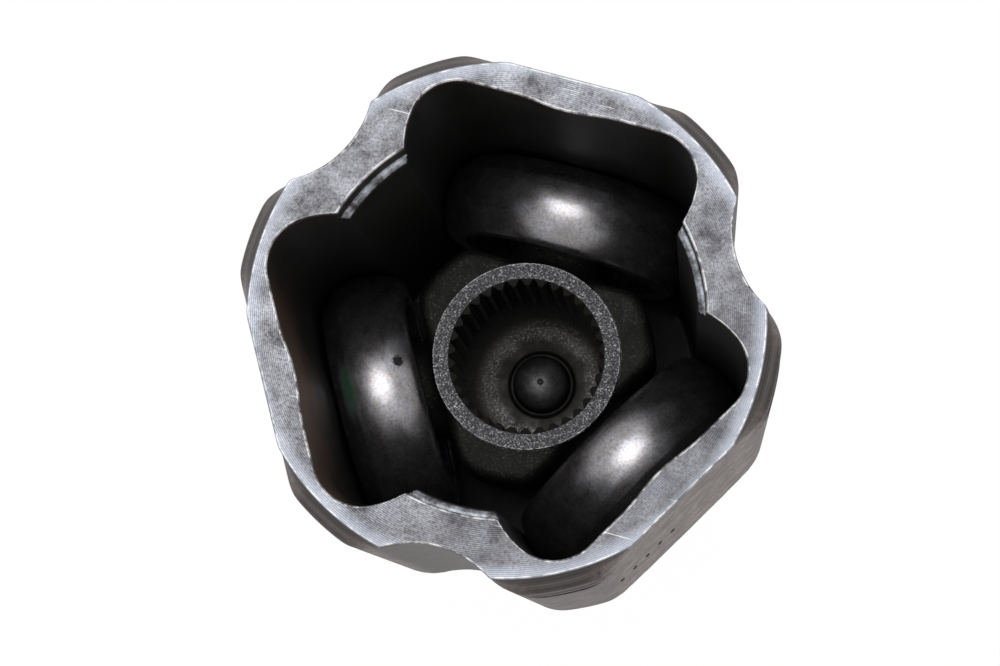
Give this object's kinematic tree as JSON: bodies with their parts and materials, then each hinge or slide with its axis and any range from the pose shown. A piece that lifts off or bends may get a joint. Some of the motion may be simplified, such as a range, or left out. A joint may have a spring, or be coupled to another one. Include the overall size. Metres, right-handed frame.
{
  "type": "cv joint",
  "caption": "Inner tripod plunging CV joint: lobed bell with a splined stub shaft, splined spider and needle-bearing roller cassettes in straight tracks.",
  "frame": {"origin": "on the joint's axis, in the shoulder plane where the stub shaft's journal meets the bell", "axes": "+Z along the joint's axis and out of the bell's mouth; +Y through the middle of lobe 1"},
  "size_m": [0.0908, 0.0849, 0.1778],
  "materials": {
    "forged_steel": "forged, with machined mouth face, seat and journal",
    "spider_steel": "forged and phosphated, hub face turned",
    "bearing_steel": "hardened, ground and polished",
    "needle_steel": "hardened and ground",
    "spring_steel": "blued spring steel"
  },
  "bodies": {
    "housing": {"tulip_housing": "forged_steel", "stub_shaft": "forged_steel", "stub_circlip": "spring_steel"},
    "spider": {"spider": "spider_steel"},
    "ring_1": {"inner_ring_1": "bearing_steel"},
    "needles_1": {"needle_rollers_1": "needle_steel"},
    "roller_1": {"outer_roller_1": "bearing_steel", "inboard_washer_1": "bearing_steel", "outboard_washer_1": "bearing_steel", "inboard_snap_ring_1": "spring_steel", "outboard_snap_ring_1": "spring_steel"},
    "ring_2": {"inner_ring_2": "bearing_steel"},
    "needles_2": {"needle_rollers_2": "needle_steel"},
    "roller_2": {"outer_roller_2": "bearing_steel", "inboard_washer_2": "bearing_steel", "outboard_washer_2": "bearing_steel", "inboard_snap_ring_2": "spring_steel", "outboard_snap_ring_2": "spring_steel"},
    "ring_3": {"inner_ring_3": "bearing_steel"},
    "needles_3": {"needle_rollers_3": "needle_steel"},
    "roller_3": {"outer_roller_3": "bearing_steel", "inboard_washer_3": "bearing_steel", "outboard_washer_3": "bearing_steel", "inboard_snap_ring_3": "spring_steel", "outboard_snap_ring_3": "spring_steel"}
  },
  "joints": [
    {"name": "plunge", "type": "slide", "parent": "housing", "child": "ring_1", "axis": [0, 0, 1], "range_m": [0, 0.036]},
    {"name": "articulation", "type": "hinge", "parent": "ring_1", "child": "spider", "pos_m": [0, 0, 0.0445], "axis": [0, 1, 0], "range_deg": [-12, 12]},
    {"name": "roller_spin_1", "type": "hinge", "parent": "ring_1", "child": "roller_1", "pos_m": [0, 0.0272, 0.0445], "axis": [0, 1, 0], "continuous": true},
    {"name": "needle_orbit_1", "type": "hinge", "parent": "ring_1", "child": "needles_1", "pos_m": [0, 0.0272, 0.0445], "axis": [0, 1, 0], "continuous": true},
    {"name": "cassette_tilt_2", "type": "hinge", "parent": "spider", "child": "ring_2", "pos_m": [-0.02356, -0.0136, 0.0445], "axis": [0, 1, 0], "range_deg": [-12, 12]},
    {"name": "roller_spin_2", "type": "hinge", "parent": "ring_2", "child": "roller_2", "pos_m": [-0.02356, -0.0136, 0.0445], "axis": [-0.866, -0.5, 0], "continuous": true},
    {"name": "needle_orbit_2", "type": "hinge", "parent": "ring_2", "child": "needles_2", "pos_m": [-0.02356, -0.0136, 0.0445], "axis": [-0.866, -0.5, 0], "continuous": true},
    {"name": "cassette_tilt_3", "type": "hinge", "parent": "spider", "child": "ring_3", "pos_m": [0.02356, -0.0136, 0.0445], "axis": [0, 1, 0], "range_deg": [-12, 12]},
    {"name": "roller_spin_3", "type": "hinge", "parent": "ring_3", "child": "roller_3", "pos_m": [0.02356, -0.0136, 0.0445], "axis": [0.866, -0.5, 0], "continuous": true},
    {"name": "needle_orbit_3", "type": "hinge", "parent": "ring_3", "child": "needles_3", "pos_m": [0.02356, -0.0136, 0.0445], "axis": [0.866, -0.5, 0], "continuous": true}
  ],
  "couplings": [
    {"joint": "needle_orbit_1", "follows": "roller_spin_1", "ratio": 0.5527},
    {"joint": "cassette_tilt_2", "follows": "articulation", "ratio": -1},
    {"joint": "needle_orbit_2", "follows": "roller_spin_2", "ratio": 0.5527},
    {"joint": "cassette_tilt_3", "follows": "articulation", "ratio": -1},
    {"joint": "needle_orbit_3", "follows": "roller_spin_3", "ratio": 0.5527}
  ]
}
